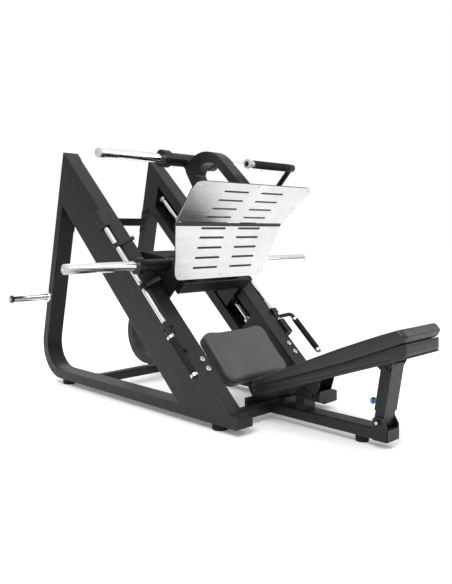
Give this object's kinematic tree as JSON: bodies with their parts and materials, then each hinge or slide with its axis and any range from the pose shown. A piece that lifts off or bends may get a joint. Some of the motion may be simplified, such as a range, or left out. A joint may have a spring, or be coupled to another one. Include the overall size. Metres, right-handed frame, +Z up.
{
  "type": "leg press machine",
  "caption": "Leg press: inclined rails carry a sled with angled foot plates and plate-loading horns, beside turning stop handles, a low seat and a backrest on an adjustable post.",
  "frame": {"origin": "floor level under the centre of the machine's bounding box", "axes": "+X to the user's right as they lie looking at the foot plates, +Y from the head end toward the tall rear frame, +Z up"},
  "size_m": [1.726, 2.3689, 1.377],
  "materials": {
    "frame_paint": "satin black powder coat",
    "sled_paint": "satin black powder coat",
    "chrome": "polished chrome",
    "plate_steel": "brushed silver sheet",
    "backing_black": "semi-gloss black",
    "foot_rubber": "moulded rubber",
    "grip_rubber": "ribbed rubber",
    "cap_grey": "satin grey",
    "bolt_steel": "zinc plated",
    "knob_blue": "blue moulded plastic",
    "seat_vinyl": "charcoal upholstery vinyl",
    "rest_vinyl": "black upholstery vinyl",
    "base_vinyl": "black upholstery vinyl",
    "board_black": "black board"
  },
  "bodies": {
    "frame": {"left_beam_top_rail": "frame_paint", "right_beam_top_rail": "frame_paint", "left_beam_bottom_rail": "frame_paint", "right_beam_bottom_rail": "frame_paint", "left_beam_web": "frame_paint", "right_beam_web": "frame_paint", "left_base_upright": "frame_paint", "right_base_upright": "frame_paint", "guide_rods": "chrome", "rod_clamps": "bolt_steel", "stop_bearings": "frame_paint", "storage_pegs": "chrome", "peg_caps": "cap_grey", "beam_bolts": "bolt_steel", "rubber_feet": "foot_rubber", "base_crossmembers": "frame_paint", "rear_crossmember": "frame_paint", "front_blocks": "frame_paint", "centre_base": "frame_paint", "seat_rail": "frame_paint", "post_bracket": "frame_paint", "post_pivot_bolt": "bolt_steel", "seat_pad": "seat_vinyl", "seat_frame": "frame_paint"},
    "sled": {"sled_plates": "sled_paint", "sled_tubes": "sled_paint", "slide_bearings": "sled_paint", "slide_rubbers": "foot_rubber", "plate_frame": "sled_paint", "hoop": "sled_paint", "upper_bar": "sled_paint", "lower_bar": "sled_paint", "bar_collars": "sled_paint", "plate_horns": "chrome", "horn_caps": "cap_grey", "upper_footplate": "plate_steel", "lower_footplate": "plate_steel", "upper_backing": "backing_black", "lower_backing": "backing_black", "plate_screws": "bolt_steel", "handle_frame": "sled_paint", "handle_grip": "grip_rubber", "handle_cap": "cap_grey"},
    "left_stop": {"left_stop_rod": "chrome", "left_catch_arms": "sled_paint", "left_stop_crank": "frame_paint", "left_stop_grip": "grip_rubber"},
    "right_stop": {"right_stop_rod": "chrome", "right_catch_arms": "sled_paint", "right_stop_crank": "frame_paint", "right_stop_grip": "grip_rubber"},
    "backrest": {"backrest_board": "board_black", "backrest_base_pad": "base_vinyl", "backrest_top_pad": "rest_vinyl", "backrest_hinge": "frame_paint", "hinge_bolts": "frame_paint"},
    "post_lower": {"post_inner": "frame_paint"},
    "post_upper": {"post_sleeve": "frame_paint"},
    "pin": {"pull_pin": "bolt_steel", "pull_knob": "knob_blue"}
  },
  "joints": [
    {"name": "sled_slide", "type": "slide", "parent": "frame", "child": "sled", "axis": [0, 0.7314, 0.682], "range_m": [-0.09, 0.5]},
    {"name": "left_stop_turn", "type": "hinge", "parent": "frame", "child": "left_stop", "pos_m": [-0.392, 0.16082, 0.62641], "axis": [0, -0.7314, -0.682], "range_deg": [0, 115]},
    {"name": "right_stop_turn", "type": "hinge", "parent": "frame", "child": "right_stop", "pos_m": [0.392, 0.16082, 0.62641], "axis": [0, 0.7314, 0.682], "range_deg": [0, 115]},
    {"name": "backrest_tilt", "type": "hinge", "parent": "frame", "child": "backrest", "pos_m": [0, -0.652, 0.16], "axis": [-1, 0, 0], "range_deg": [0, 8]},
    {"name": "post_tilt", "type": "hinge", "parent": "frame", "child": "post_lower", "pos_m": [0, -0.994, 0.11], "axis": [-1, 0, 0], "range_deg": [0, 7.65]},
    {"name": "post_extend", "type": "slide", "parent": "post_lower", "child": "post_upper", "axis": [0, -0.1731, 0.9849], "range_m": [0, 0.0485]},
    {"name": "pin_pull", "type": "slide", "parent": "post_upper", "child": "pin", "axis": [0, 0.9849, 0.1731], "range_m": [0, 0.01], "stiffness_N_per_m": 400}
  ],
  "couplings": [
    {"joint": "post_tilt", "follows": "backrest_tilt", "ratio": 0.949},
    {"joint": "post_extend", "follows": "backrest_tilt", "m_per_rad": 0.3451}
  ]
}
